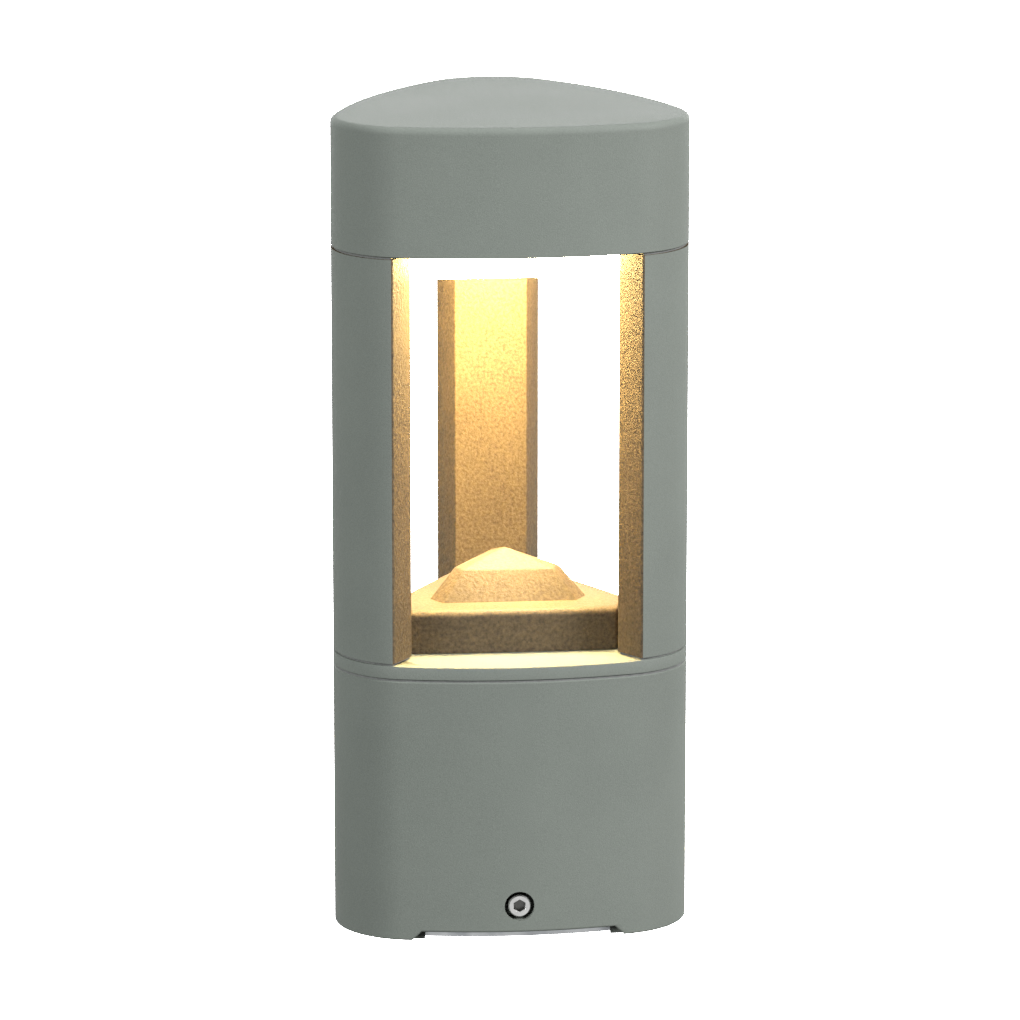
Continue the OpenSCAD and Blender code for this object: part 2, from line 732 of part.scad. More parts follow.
module terminal_block() color("#f0f0ea") {
    y = box_y + box_size[1] / 2 - terminal[1] / 2;
    z = box_z + box_size[2] - box_t - terminal[2];
    difference() {
        translate([-terminal[0] / 2, y, z]) cube(terminal);
        for (k = [-1:1]) translate([k * 10, y + terminal[1] / 2, z - over]) cylinder(d = 4, h = 8 + over);
        for (k = [-1:1]) translate([k * 10, y - over, z + 6]) rotate([-90, 0, 0])
            cylinder(d = 4.5, h = 4 + over);
    }
}

gland_y = box_y + box_size[1] / 2;
gland_bore_d = 8;
gland_hex = 20;
gland_body_h = 6;
gland_sleeve_h = 8;
gland_cap_h = 12;

module gland_body() color("#303030") translate([0, gland_y, box_z]) difference() {
    union() {
        translate([0, 0, -over]) cylinder(d = gland_thread_d, h = box_t + 6 + over);
        translate([0, 0, -gland_body_h]) cylinder(d = gland_hex / cos(30), h = gland_body_h, $fn = 6);
        translate([0, 0, -gland_body_h - gland_sleeve_h])
            cylinder(d = gland_thread_d, h = gland_sleeve_h + 1);
    }
    translate([0, 0, -gland_body_h - gland_sleeve_h - over])
        cylinder(d = gland_bore_d + 4, h = gland_sleeve_h + over);
    translate([0, 0, -2 * gland_body_h]) cylinder(d = gland_bore_d, h = 3 * gland_body_h + box_t);
}

module gland_locknut() color("#303030") translate([0, gland_y, box_z + box_t]) difference() {
    cylinder(d = gland_hex / cos(30), h = 4, $fn = 6);
    translate([0, 0, -over]) cylinder(d = gland_thread_d + 2 * thread_gap, h = 4 + 2 * over);
}

module gland_seal() color("#1c1c1c") translate([0, gland_y, box_z - gland_body_h - gland_sleeve_h])
    tube(gland_bore_d / 2 + 2 - thread_gap, gland_bore_d / 2, gland_sleeve_h);

module gland_cap() color("#303030")
    translate([0, gland_y, box_z - gland_body_h - gland_cap_h]) difference() {
        cylinder(d = gland_hex / cos(30), h = gland_cap_h - fit, $fn = 6);
        translate([0, 0, gland_cap_h - gland_sleeve_h])
            cylinder(d = gland_thread_d + 2 * thread_gap, h = gland_cap_h);
        translate([0, 0, -over]) cylinder(d = gland_bore_d, h = gland_cap_h);
    }

base_shell();
base_gasket();
floor_plate();
floor_plate_screws();
upright_back();
upright_left();
upright_right();
upright_foot_seals();
upright_head_seals();
tie_rods();
tie_rod_nuts();
tie_rod_washers();
plinth();
plinth_screws();
pyramid();
pyramid_screw();
head_shell();
head_plate();
head_plate_gasket();
head_plate_screws();
diffuser();
diffuser_gasket();
diffuser_clamp();
heat_sink();
heat_sink_screws();
led_board();
led_emitter();
led_board_screws();
reflector_cup();
led_lead();
lead_grommets();
mains_link();
bracket();
bracket_screws();
driver_case();
driver_screws();
connection_box();
connection_box_lid();
box_lid_screws();
box_screws();
terminal_block();
gland_body();
gland_locknut();
gland_seal();
gland_cap();
anchor_plate();
anchor_ears();
side_screws();
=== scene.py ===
from math import atan2, cos, pi, radians, sin, sqrt, tan

import bmesh
import bpy
from mathutils import Matrix, Vector


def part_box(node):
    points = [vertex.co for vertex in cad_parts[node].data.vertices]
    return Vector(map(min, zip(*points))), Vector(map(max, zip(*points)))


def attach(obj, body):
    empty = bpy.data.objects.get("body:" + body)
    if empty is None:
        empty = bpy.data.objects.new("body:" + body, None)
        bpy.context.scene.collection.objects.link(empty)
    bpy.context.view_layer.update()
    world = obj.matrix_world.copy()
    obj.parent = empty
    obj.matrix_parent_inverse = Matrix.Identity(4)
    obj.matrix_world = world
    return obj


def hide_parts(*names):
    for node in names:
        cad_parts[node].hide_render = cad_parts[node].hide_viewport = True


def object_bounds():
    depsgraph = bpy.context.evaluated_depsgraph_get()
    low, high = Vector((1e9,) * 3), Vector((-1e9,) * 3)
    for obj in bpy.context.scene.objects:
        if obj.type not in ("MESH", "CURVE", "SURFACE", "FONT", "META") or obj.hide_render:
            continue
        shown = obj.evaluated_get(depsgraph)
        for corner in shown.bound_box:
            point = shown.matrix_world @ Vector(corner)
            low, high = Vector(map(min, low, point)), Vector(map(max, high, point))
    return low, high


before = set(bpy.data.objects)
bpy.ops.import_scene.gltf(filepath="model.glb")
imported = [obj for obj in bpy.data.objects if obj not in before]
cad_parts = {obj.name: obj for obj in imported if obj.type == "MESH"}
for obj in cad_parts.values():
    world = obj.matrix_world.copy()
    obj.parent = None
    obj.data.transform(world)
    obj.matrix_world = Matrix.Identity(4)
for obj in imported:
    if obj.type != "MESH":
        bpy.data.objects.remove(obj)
cad_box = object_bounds()

# ---------------------------------------------------------------- camera
# A long lens a little above the head's height, turned slightly left of the front side,
# so the far upright shows through the window.
top_z = cad_box[1].z
camera_azimuth = radians(-5.82)
camera_elevation = radians(12.68)
camera_distance = 2.291
aim = Vector((0.002, 0.0, 0.497 * top_z))
away = Vector((
    sin(camera_azimuth) * cos(camera_elevation),
    -cos(camera_azimuth) * cos(camera_elevation),
    sin(camera_elevation),
))
camera_data = bpy.data.cameras.new("camera")
camera_data.lens = 219.6
camera_data.sensor_width = 36.0
camera_data.clip_end = 20.0
camera = bpy.data.objects.new("camera", camera_data)
camera.location = aim + away * camera_distance
camera.rotation_mode = "QUATERNION"
camera.rotation_quaternion = (-away).to_track_quat("-Z", "Y")
bpy.context.scene.collection.objects.link(camera)
bpy.context.scene.camera = camera

# ---------------------------------------------------------------- studio
# A pale glowing floor in a dim room, a large softbox high on the right and a weaker one on the
# left. The floor's own light stays off the object, so the open chamber keeps its shade, and the
# room is brighter to reflections than to the rest.
bpy.context.scene.view_settings.view_transform = "Standard"


def softbox(name, place, size, power, tint):
    data = bpy.data.lights.new(name, "AREA")
    data.shape = "RECTANGLE"
    data.size, data.size_y = size
    data.energy = power
    data.color = tint
    lamp = bpy.data.objects.new(name, data)
    lamp.location = place
    lamp.rotation_mode = "QUATERNION"
    lamp.rotation_quaternion = (aim - Vector(place)).to_track_quat("-Z", "Y")
    lamp.visible_camera = False
    bpy.context.scene.collection.objects.link(lamp)
    return lamp


softbox("right_key", (2.0, -1.35, 1.35), (0.9, 0.9), 128.0, (1.0, 1.0, 1.0))
softbox("left_fill", (-1.9, -1.6, 1.05), (0.9, 0.9), 69.0, (0.98, 1.0, 1.0))
softbox("overhead", (0.1, 0.5, 2.0), (0.9, 0.9), 18.0, (1.0, 1.0, 1.0))
sheen = softbox("far_wall", (0.0, 1.6, 0.5), (3.0, 1.0), 32.0, (1.0, 1.0, 1.0))
sheen.visible_diffuse = False

world = bpy.data.worlds.new("studio")
world.use_nodes = True
room = world.node_tree.nodes["Background"]
room.inputs["Color"].default_value = (1.0, 1.0, 1.0, 1.0)
rays = world.node_tree.nodes.new("ShaderNodeLightPath")
level = world.node_tree.nodes.new("ShaderNodeMapRange")
level.inputs["To Min"].default_value = 0.05
level.inputs["To Max"].default_value = 0.75
world.node_tree.links.new(rays.outputs["Is Glossy Ray"], level.inputs["Value"])
world.node_tree.links.new(level.outputs["Result"], room.inputs["Strength"])
bpy.context.scene.world = world


def floor_material():
    mat = bpy.data.materials.new("studio_floor")
    mat.use_nodes = True
    shader = mat.node_tree.nodes["Principled BSDF"]
    shader.inputs["Base Color"].default_value = (0.93, 0.93, 0.93, 1.0)
    shader.inputs["Roughness"].default_value = 0.9
    shader.inputs["Emission Color"].default_value = (1.0, 1.0, 1.0, 1.0)
    shader.inputs["Emission Strength"].default_value = 9.0
    return mat


floor_mesh = bpy.data.meshes.new("floor")
reach = 6.0
floor_mesh.from_pydata(
    [(-reach, -reach, 0.0), (reach, -reach, 0.0), (reach, reach, 0.0), (-reach, reach, 0.0)],
    [], [(0, 1, 2, 3)],
)
floor_mesh.materials.append(floor_material())
floor = bpy.data.objects.new("floor", floor_mesh)
floor.visible_diffuse = False
floor.visible_glossy = False
bpy.context.scene.collection.objects.link(floor)

# ---------------------------------------------------------------- anchor plate and its ears
# A zinc-plated steel plate bolted to the footing through three holes, with three welded ears
# that take the side screws. The spangle of the zinc shows as soft grey patches.


def shader_of(mat):
    return mat.node_tree.nodes["Principled BSDF"]


def link_object_coords(mat, scale):
    nodes, links = mat.node_tree.nodes, mat.node_tree.links
    coords = nodes.new("ShaderNodeTexCoord")
    spread = nodes.new("ShaderNodeMapping")
    spread.inputs["Scale"].default_value = scale
    links.new(coords.outputs["Object"], spread.inputs["Vector"])
    return spread.outputs["Vector"]


def noise(mat, vector, scale, detail=2.0, rough=0.5):
    node = mat.node_tree.nodes.new("ShaderNodeTexNoise")
    node.inputs["Scale"].default_value = scale
    node.inputs["Detail"].default_value = detail
    node.inputs["Roughness"].default_value = rough
    mat.node_tree.links.new(vector, node.inputs["Vector"])
    return node.outputs["Fac"]


def ramp(mat, factor, stops):
    node = mat.node_tree.nodes.new("ShaderNodeValToRGB")
    bands = node.color_ramp.elements
    while len(bands) < len(stops):
        bands.new(0.5)
    for band, (place, colour) in zip(bands, stops):
        band.position = place
        band.color = (*colour, 1.0)
    mat.node_tree.links.new(factor, node.inputs["Fac"])
    return node.outputs["Color"]


def bump(mat, height, depth, strength=1.0, under=None):
    node = mat.node_tree.nodes.new("ShaderNodeBump")
    node.inputs["Distance"].default_value = depth
    node.inputs["Strength"].default_value = strength
    mat.node_tree.links.new(height, node.inputs["Height"])
    if under:
        mat.node_tree.links.new(under, node.inputs["Normal"])
    return node.outputs["Normal"]


def new_material(name, metal=0.0):
    mat = bpy.data.materials.new(name)
    mat.use_nodes = True
    shader_of(mat).inputs["Metallic"].default_value = metal
    return mat


def zinc_plate():
    mat = new_material("zinc_plate", metal=1.0)
    at = link_object_coords(mat, (1.0, 1.0, 1.0))
    spangle = noise(mat, at, 140.0, detail=3.0)
    links, shader = mat.node_tree.links, shader_of(mat)
    links.new(ramp(mat, spangle, [(0.35, (0.42, 0.44, 0.46)), (0.65, (0.58, 0.60, 0.61))]),
              shader.inputs["Base Color"])
    links.new(ramp(mat, spangle, [(0.3, (0.5,) * 3), (0.7, (0.36,) * 3)]), shader.inputs["Roughness"])
    links.new(bump(mat, noise(mat, at, 900.0), 0.0001, 0.3), shader.inputs["Normal"])
    return mat


def paint_node(name, mat):
    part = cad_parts[name]
    part.data.materials.clear()
    part.data.materials.append(mat)


zinc = zinc_plate()
for name in ("anchor_plate", "anchor_ears", "bracket"):
    paint_node(name, zinc)

# ---------------------------------------------------------------- base shell
# The hollow cast foot: a rounded triangle with bowed sides and a 3.5 mm wall. Each side has a
# long drain slot in its bottom edge and a counterbore for one side screw. Powder coated.
mm = 0.001
body_low, body_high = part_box("base_shell")
corner_radius = 30 * mm
side_radius = 170 * mm
corner_place = (body_high.x - corner_radius) / cos(radians(30))
half_chord = corner_place * cos(radians(30))
side_centre = sqrt((side_radius - corner_radius) ** 2 - half_chord ** 2) - corner_place / 2
side_face = side_radius - side_centre
side_half = atan2(corner_place * cos(radians(30)), side_centre + corner_place / 2)


def arc(centre, radius, start, sweep, steps):
    for i in range(steps):
        a = start + sweep * i / steps
        yield Vector((centre[0] + radius * cos(a), centre[1] + radius * sin(a)))


def body_plan(inset=0.0, side_steps=36, corner_steps=40):
    """The body's outline, set in from its surface, as points that run anticlockwise."""
    points = []
    for k in range(3):
        down = radians(270 + 120 * k)
        out = down + radians(60)
        points += arc((-side_centre * cos(down), -side_centre * sin(down)), side_radius - inset,
                      down - side_half, 2 * side_half, side_steps)
        points += arc((corner_place * cos(out), corner_place * sin(out)), corner_radius - inset,
                      down + side_half, radians(120) - 2 * side_half, corner_steps)
    return points


def on_outline(p):
    """True for a point on the body's outer surface."""
    for k in range(3):
        down, out = radians(270 + 120 * k), radians(330 + 120 * k)
        side = p.xy + side_centre * Vector((cos(down), sin(down)))
        corner = p.xy - corner_place * Vector((cos(out), sin(out)))
        if abs(side.length - side_radius) < 0.04 * mm or abs(corner.length - corner_radius) < 0.04 * mm:
            return True
    return False


def loft(name, rings, closed=False):
    """Joins rings of (points, height) into a wall. Its ends are capped, or meet if it is closed."""
    bm = bmesh.new()
    loops = [[bm.verts.new((p.x, p.y, z)) for p in points] for points, z in rings]
    pairs = list(zip(loops, loops[1:])) + ([(loops[-1], loops[0])] if closed else [])
    for low, high in pairs:
        for i in range(len(low)):
            j = (i + 1) % len(low)
            bm.faces.new((low[i], low[j], high[j], high[i]))
    if not closed:
        bm.faces.new(reversed(loops[0]))
        bm.faces.new(loops[-1])
    bmesh.ops.recalc_face_normals(bm, faces=bm.faces)
    mesh = bpy.data.meshes.new(name)
    bm.to_mesh(mesh)
    bm.free()
    piece = bpy.data.objects.new(name, mesh)
    bpy.context.scene.collection.objects.link(piece)
    return piece


def rod(name, radius, start, end, steps=48, far_radius=None):
    """A round bar between two points, used as a boss or as a cutter."""
    far_radius = radius if far_radius is None else far_radius
    start, end = Vector(start), Vector(end)
    turn = (end - start).to_track_quat("Z", "Y").to_matrix().to_4x4()
    circle = list(arc((0, 0), 1.0, 0.0, 2 * pi, steps))
    near = [p * radius for p in circle]
    far = [p * far_radius for p in circle]
    piece = loft(name, [(near, 0.0), (far, (end - start).length)])
    piece.data.transform(Matrix.Translation(start) @ turn)
    return piece


def prism(name, points, low, high):
    return loft(name, [(points, low), (points, high)])


def settle(piece):
    """Applies the piece's modifiers and leaves a plain mesh."""
    made = piece.evaluated_get(bpy.context.evaluated_depsgraph_get())
    mesh = bpy.data.meshes.new_from_object(made)
    mesh.name = piece.name
    piece.modifiers.clear()
    piece.data = mesh
    return piece


def combine(piece, tools, how):
    """Adds the tools to the piece or cuts them from it, and removes them."""
    for tool in tools:
        step = piece.modifiers.new(tool.name, "BOOLEAN")
        step.object = tool
        step.operation = how
        step.solver = "EXACT"
    settle(piece)
    for tool in tools:
        bpy.data.objects.remove(tool)
    return piece


def round_edges(piece, chosen, width, steps=3):
    """Rounds the sharp edges whose middle point is chosen."""
    bm = bmesh.new()
    bm.from_mesh(piece.data)
    bmesh.ops.remove_doubles(bm, verts=bm.verts, dist=1e-6)
    bmesh.ops.dissolve_limit(bm, angle_limit=radians(0.3), verts=bm.verts, edges=bm.edges)
    edges = []
    for edge in bm.edges:
        middle = (edge.verts[0].co + edge.verts[1].co) / 2
        if len(edge.link_faces) == 2 and edge.calc_face_angle() > radians(35) and chosen(middle):
            edges.append(edge)
    bmesh.ops.bevel(bm, geom=edges, offset=width, segments=steps, profile=0.5, affect="EDGES",
                    clamp_overlap=False)
    bm.to_mesh(piece.data)
    bm.free()
    return piece


def smooth(piece, sharp=35):
    for face in piece.data.polygons:
        face.use_smooth = True
    piece.data.set_sharp_from_angle(angle=radians(sharp))
    return piece


def slice_level(piece, heights):
    """Cuts level loops into the piece, so that a rounded edge doesn't shade a whole wall."""
    bm = bmesh.new()
    bm.from_mesh(piece.data)
    for z in heights:
        bmesh.ops.bisect_plane(bm, geom=[*bm.verts, *bm.edges, *bm.faces], dist=1e-7,
                               plane_co=(0, 0, z), plane_no=(0, 0, 1))
    bm.to_mesh(piece.data)
    bm.free()
    return piece


def third_turn(k):
    return Matrix.Rotation(radians(120 * k), 4, "Z")


def three_of(make):
    """Makes a tool at the front or back and turned copies of it at the other two places."""
    tools = []
    for k in range(3):
        tool = make()
        tool.data.transform(third_turn(k))
        tools.append(tool)
    return tools


def powder_coat(name, dark, light, grain, depth, shine):
    """Matt powder coat: fine orange-peel grain, faint cloudy tone, and duller cloudy patches."""
    mat = new_material(name)
    at = link_object_coords(mat, (1.0, 1.0, 1.0))
    links, shader = mat.node_tree.links, shader_of(mat)
    cloud = noise(mat, at, 14.0, detail=4.0, rough=0.6)
    speck = noise(mat, at, grain, detail=3.0, rough=0.65)
    blend = mat.node_tree.nodes.new("ShaderNodeMix")
    blend.data_type = "FLOAT"
    blend.inputs["Factor"].default_value = 0.35
    links.new(speck, blend.inputs["A"])
    links.new(cloud, blend.inputs["B"])
    links.new(ramp(mat, blend.outputs["Result"], [(0.36, dark), (0.64, light)]), shader.inputs["Base Color"])
    links.new(ramp(mat, cloud, [(0.3, (0.58,) * 3), (0.7, (0.68,) * 3)]), shader.inputs["Roughness"])
    shader.inputs["Specular IOR Level"].default_value = shine
    links.new(bump(mat, speck, depth, 0.6), shader.inputs["Normal"])
    return mat


def dress(piece, mat, body, slot, *nodes):
    """Gives a finished piece its material, its body and the nodes that it stands for. The slot is not used.
    """
    piece.data.materials.clear()
    piece.data.materials.append(mat)
    if nodes:
        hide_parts(*nodes)
    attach(piece, body)
    return piece


housing_dark = (0.132, 0.146, 0.131)
housing_light = (0.168, 0.185, 0.166)
housing_paint = powder_coat("housing_paint", housing_dark, housing_light, 2600.0, 0.00012, 0.16)

shell_wall = 3.5 * mm
screw_z = 13.3 * mm
slot_half = 39 * mm
slot_height = 3.5 * mm
port_x, port_y = -11 * mm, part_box("floor_plate_screws")[1].y - 4.5 * mm


def base_shell():
    low, top = body_low.z, body_high.z
    lip = 0.4 * mm
    outer = [(body_plan(), low), (body_plan(), top - lip), (body_plan(lip), top)]
    inner = [(body_plan(shell_wall), top), (body_plan(shell_wall), low)]
    piece = loft("base_shell_visual", outer + inner, closed=True)
    boss_radius, boss_end = 7.5 * mm, side_face - shell_wall - 5 * mm
    bosses = three_of(lambda: rod("boss", boss_radius, (0, -side_face + shell_wall / 2, screw_z),
                                  (0, -boss_end, screw_z)))
    bosses += three_of(lambda: rod("port", 4.5 * mm, (port_x, port_y, top - 20 * mm), (port_x, port_y, top)))
    combine(piece, bosses, "UNION")
    slot = [Vector((-slot_half, -1 * mm)), Vector((slot_half, -1 * mm)), Vector((slot_half, 0)),
            Vector((slot_half - slot_height, slot_height)), Vector((slot_height - slot_half, slot_height)),
            Vector((-slot_half, 0))]

    def slot_cutter():
        cutter = prism("slot", slot, 0.0, 14 * mm)
        inwards = Matrix.Translation((0, -side_face + 2 * shell_wall, 0))
        cutter.data.transform(inwards @ Matrix.Rotation(pi / 2, 4, "X"))
        return cutter

    sink = 5.3 * mm
    cuts = three_of(slot_cutter)
    cuts += three_of(lambda: rod("counterbore", 5.5 * mm, (0, -side_face - 2 * mm, screw_z),
                                 (0, -side_face + sink, screw_z), 64))
    cuts += three_of(
        lambda: rod("hole", 2.8 * mm, (0, -side_face, screw_z), (0, -boss_end + 2 * mm, screw_z))
    )
    cuts += three_of(
        lambda: rod("bore", 2.55 * mm, (port_x, port_y, top - 18 * mm), (port_x, port_y, top + 2 * mm))
    )
    combine(piece, cuts, "DIFFERENCE")

    round_edges(piece, lambda p: p.z < slot_height + 0.3 * mm and on_outline(p), 0.7 * mm)
    levels = [z * mm for z in (0.8, 2.6, 4.4, 7.6, 10.5, 13.3, 16.1, 19.0, 24.0, 60.0, 96.0)]
    return smooth(slice_level(piece, levels))


dress(base_shell(), housing_paint, "root", "housing_paint", "base_shell")

# ---------------------------------------------------------------- side screws
# Three stainless socket cap screws that sit in the counterbores and hold the base shell to the
# ears. The heads are knurled round the side and have a hexagon socket, with painted shade inside.


def finish(name, dark, light, grain, rough, metal=0.0, depth=0.00005):
    """A plain surface with a faint mottle in its colour, its shine and its grain."""
    mat = new_material(name, metal)
    at = link_object_coords(mat, (1.0, 1.0, 1.0))
    links, shader = mat.node_tree.links, shader_of(mat)
    mottle = noise(mat, at, grain, detail=3.0)
    links.new(ramp(mat, mottle, [(0.32, dark), (0.68, light)]), shader.inputs["Base Color"])
    links.new(ramp(mat, mottle, [(0.3, (rough * 1.15,) * 3), (0.7, (rough * 0.85,) * 3)]),
              shader.inputs["Roughness"])
    links.new(bump(mat, noise(mat, at, grain * 4), depth, 0.4), shader.inputs["Normal"])
    return mat


def ring(radius, ridges=0, depth=0.0, steps=120):
    """A circle, with small ridges round it if ridges is given."""
    points = []
    for i in range(steps):
        a = 2 * pi * i / steps
        r = radius - depth * (0.5 + 0.5 * cos(ridges * a)) if ridges else radius
        points.append(Vector((r * cos(a), r * sin(a))))
    return points


def hexagon(across, steps=120):
    """A hexagon with the same number of points as a ring."""
    points = []
    for i in range(steps):
        a = 2 * pi * i / steps
        turn = (a + pi / 6) % (pi / 3) - pi / 6
        r = across / 2 / cos(turn)
        points.append(Vector((r * cos(a), r * sin(a))))
    return points


def cap_screw(name, width, length, head_width, head_height, key):
    """A socket cap screw that stands upright with the underside of its head at height 0."""
    r, head = width / 2, head_width / 2
    return loft(name, [
        (ring(r - 0.4 * mm), -length),
        (ring(r), -length + 0.5 * mm),
        (ring(r), 0),
        (ring(head), 0),
        (ring(head, 40, 0.16 * mm), 0.2 * mm),
        (ring(head, 40, 0.16 * mm), head_height - 0.6 * mm),
        (ring(head - 0.15 * mm), head_height - 0.5 * mm),
        (ring(head - 0.5 * mm), head_height),
        (hexagon(key + 0.4 * mm), head_height),
        (hexagon(key), head_height - 0.25 * mm),
        (hexagon(key), head_height / 2),
    ])


def round_axis_tree():
    """Geometry nodes that repeat a piece round the axis. Count and Material are its inputs."""
    tree = bpy.data.node_groups.new("round_axis", "GeometryNodeTree")
    face = tree.interface
    face.new_socket("Geometry", in_out="INPUT", socket_type="NodeSocketGeometry")
    face.new_socket("Count", in_out="INPUT", socket_type="NodeSocketInt")
    face.new_socket("Material", in_out="INPUT", socket_type="NodeSocketMaterial")
    face.new_socket("Geometry", in_out="OUTPUT", socket_type="NodeSocketGeometry")
    nodes, links = tree.nodes, tree.links
    source, result = nodes.new("NodeGroupInput"), nodes.new("NodeGroupOutput")
    places, index = nodes.new("GeometryNodePoints"), nodes.new("GeometryNodeInputIndex")
    share, turn = nodes.new("ShaderNodeMath"), nodes.new("ShaderNodeMath")
    share.operation, turn.operation = "DIVIDE", "MULTIPLY"
    turn.inputs[1].default_value = 2 * pi
    spin, put = nodes.new("ShaderNodeCombineXYZ"), nodes.new("GeometryNodeInstanceOnPoints")
    real, coat = nodes.new("GeometryNodeRealizeInstances"), nodes.new("GeometryNodeSetMaterial")
    links.new(source.outputs["Count"], places.inputs["Count"])
    links.new(index.outputs[0], share.inputs[0])
    links.new(source.outputs["Count"], share.inputs[1])
    links.new(share.outputs[0], turn.inputs[0])
    links.new(turn.outputs[0], spin.inputs["Z"])
    links.new(places.outputs[0], put.inputs["Points"])
    links.new(source.outputs["Geometry"], put.inputs["Instance"])
    links.new(spin.outputs[0], put.inputs["Rotation"])
    links.new(put.outputs[0], real.inputs[0])
    links.new(real.outputs[0], coat.inputs["Geometry"])
    links.new(source.outputs["Material"], coat.inputs["Material"])
    links.new(coat.outputs[0], result.inputs[0])
    return tree


round_axis = round_axis_tree()


def repeat(piece, count, mat):
    """Turns copies of the piece round the axis and leaves one plain mesh."""
    step = piece.modifiers.new("round_axis", "NODES")
    step.node_group = round_axis
    chosen = {"Count": count, "Material": mat}
    for socket in round_axis.interface.items_tree:
        if socket.in_out == "INPUT" and socket.name in chosen:
            step[socket.identifier] = chosen[socket.name]
    return smooth(settle(piece), 30)


def join(name, pieces):
    """Joins loose pieces into one mesh."""
    bm = bmesh.new()
    for piece in pieces:
        bm.from_mesh(piece.data)
        bpy.data.objects.remove(piece)
    mesh = bpy.data.meshes.new(name)
    bm.to_mesh(mesh)
    bm.free()
    made = bpy.data.objects.new(name, mesh)
    bpy.context.scene.collection.objects.link(made)
    return made


stainless = finish("stainless", (0.56, 0.57, 0.56), (0.70, 0.71, 0.70), 300.0, 0.28, metal=1.0)
side_screw = cap_screw("side_screws_visual", 5 * mm, 12 * mm, 8.5 * mm, 5 * mm, 4 * mm)
seat = -side_face + 5.3 * mm
side_screw.data.transform(Matrix.Translation((0, seat, screw_z)) @ Matrix.Rotation(pi / 2, 4, "X"))


def stainless_with_socket_shade(head_face):
    """Stainless steel, bright on the head's face and with painted shade down in the socket."""
    mat = finish("stainless_with_painted_socket_shade", (0.62, 0.62, 0.61), (0.78, 0.78, 0.77), 300.0, 0.28, metal=1.0)
    nodes, links = mat.node_tree.nodes, mat.node_tree.links
    tint = shader_of(mat).inputs["Base Color"]
    unshaded_tint = tint.links[0].from_socket
    reach_out = nodes.new("ShaderNodeVectorMath")
    reach_out.operation = "LENGTH"
    links.new(link_object_coords(mat, (1.0, 1.0, 0.0)), reach_out.inputs[0])
    depth = nodes.new("ShaderNodeMapRange")
    depth.inputs["From Min"].default_value = head_face - 1.2 * mm
    depth.inputs["From Max"].default_value = head_face - 0.5 * mm
    links.new(reach_out.outputs["Value"], depth.inputs["Value"])
    # Painted shade: the colour darkens to near black towards the axis, down in the socket.
    socket_shade = nodes.new("ShaderNodeMix")
    socket_shade.data_type = "RGBA"
    share, shaded_end, unshaded_end = socket_shade.inputs[0], socket_shade.inputs[6], socket_shade.inputs[7]
    shaded_end.default_value = (0.12, 0.12, 0.115, 1.0)
    links.new(depth.outputs["Result"], share)
    links.new(unshaded_tint, unshaded_end)
    links.new(socket_shade.outputs[2], tint)
    return mat


screw_steel = stainless_with_socket_shade(-min(v.co.y for v in side_screw.data.vertices))
dress(repeat(side_screw, 3, screw_steel), screw_steel, "root", "stainless_steel", "side_screws")

# ---------------------------------------------------------------- floor plate and its gasket
# A 5 mm cast plate that closes the base and is the sill of the three windows, with its edges
# eased. The screws, nuts and washers under the uprights hold it to the base.
rubber = finish("black_rubber", (0.118, 0.122, 0.118), (0.140, 0.144, 0.140), 500.0, 0.75)
paint_node("base_gasket", rubber)
floor_low, floor_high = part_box("floor_plate")
sill_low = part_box("base_gasket")[1].z
rod_radius = 3 * mm
rod_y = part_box("tie_rods")[1].y - rod_radius
lead_x, lead_y = 9.5 * mm, rod_y + 1 * mm


def floor_plate():
    ease = 0.4 * mm
    piece = loft("floor_plate_visual", [
        (body_plan(ease), sill_low),
        (body_plan(), sill_low + ease),
        (body_plan(), floor_high.z - ease),
        (body_plan(ease * 0.3), floor_high.z - ease * 0.3),
        (body_plan(ease), floor_high.z),
    ])
    low, high = floor_low.z - mm, floor_high.z + mm
    bosses = [rod("boss", 5 * mm, (x * mm, 18 * mm, floor_low.z), (x * mm, 18 * mm, sill_low + mm))
              for x in (-24, 24)]
    combine(piece, bosses, "UNION")
    cuts = three_of(lambda: rod("rod_hole", rod_radius + 0.3 * mm, (0, rod_y, low), (0, rod_y, high)))
    cuts += three_of(lambda: rod("screw_hole", 2.8 * mm, (port_x, port_y, low), (port_x, port_y, high)))
    cuts += three_of(lambda: rod("sunk_head", 2.5 * mm, (port_x, port_y, floor_high.z - 2.2 * mm),
                                 (port_x, port_y, floor_high.z), far_radius=4.7 * mm))
    cuts.append(rod("lead_hole", 3.45 * mm, (lead_x, lead_y, low), (lead_x, lead_y, high)))
    return smooth(combine(piece, cuts, "DIFFERENCE"))


dress(floor_plate(), housing_paint, "root", "housing_paint", "floor_plate")
for name in ("floor_plate_screws", "tie_rods", "tie_rod_nuts", "tie_rod_washers"):
    paint_node(name, stainless)

# ---------------------------------------------------------------- plinth
# A low hollow casting with bowed sides, flats across its corners and a rounded top edge. Its
# powder coat is coarse, like fine sand, and its dark brown colour is painted shade and warm light.


def rounded(points, radius, steps=5):
    """Rounds the sharp corners of an outline."""
    result = []
    for i, p in enumerate(points):
        back = (points[i - 1] - p).normalized()
        ahead = (points[(i + 1) % len(points)] - p).normalized()
        turn = pi - back.angle(ahead)
        if turn < radians(18):
            result.append(p)
            continue
        reach = radius * (1 / cos(turn / 2) ** 2 - 1) ** 0.5
        centre = p + (back + ahead).normalized() * (radius / cos(turn / 2))
        first, last = p + back * reach - centre, p + ahead * reach - centre
        for j in range(steps + 1):
            between = first.lerp(last, j / steps).normalized() * radius
            result.append(centre + between)
    return result


def thirds(points):
    """The outline made of the points and their copies a third and two thirds of a turn on."""
    return [(third_turn(k) @ p.to_3d()).xy for k in range(3) for p in points]


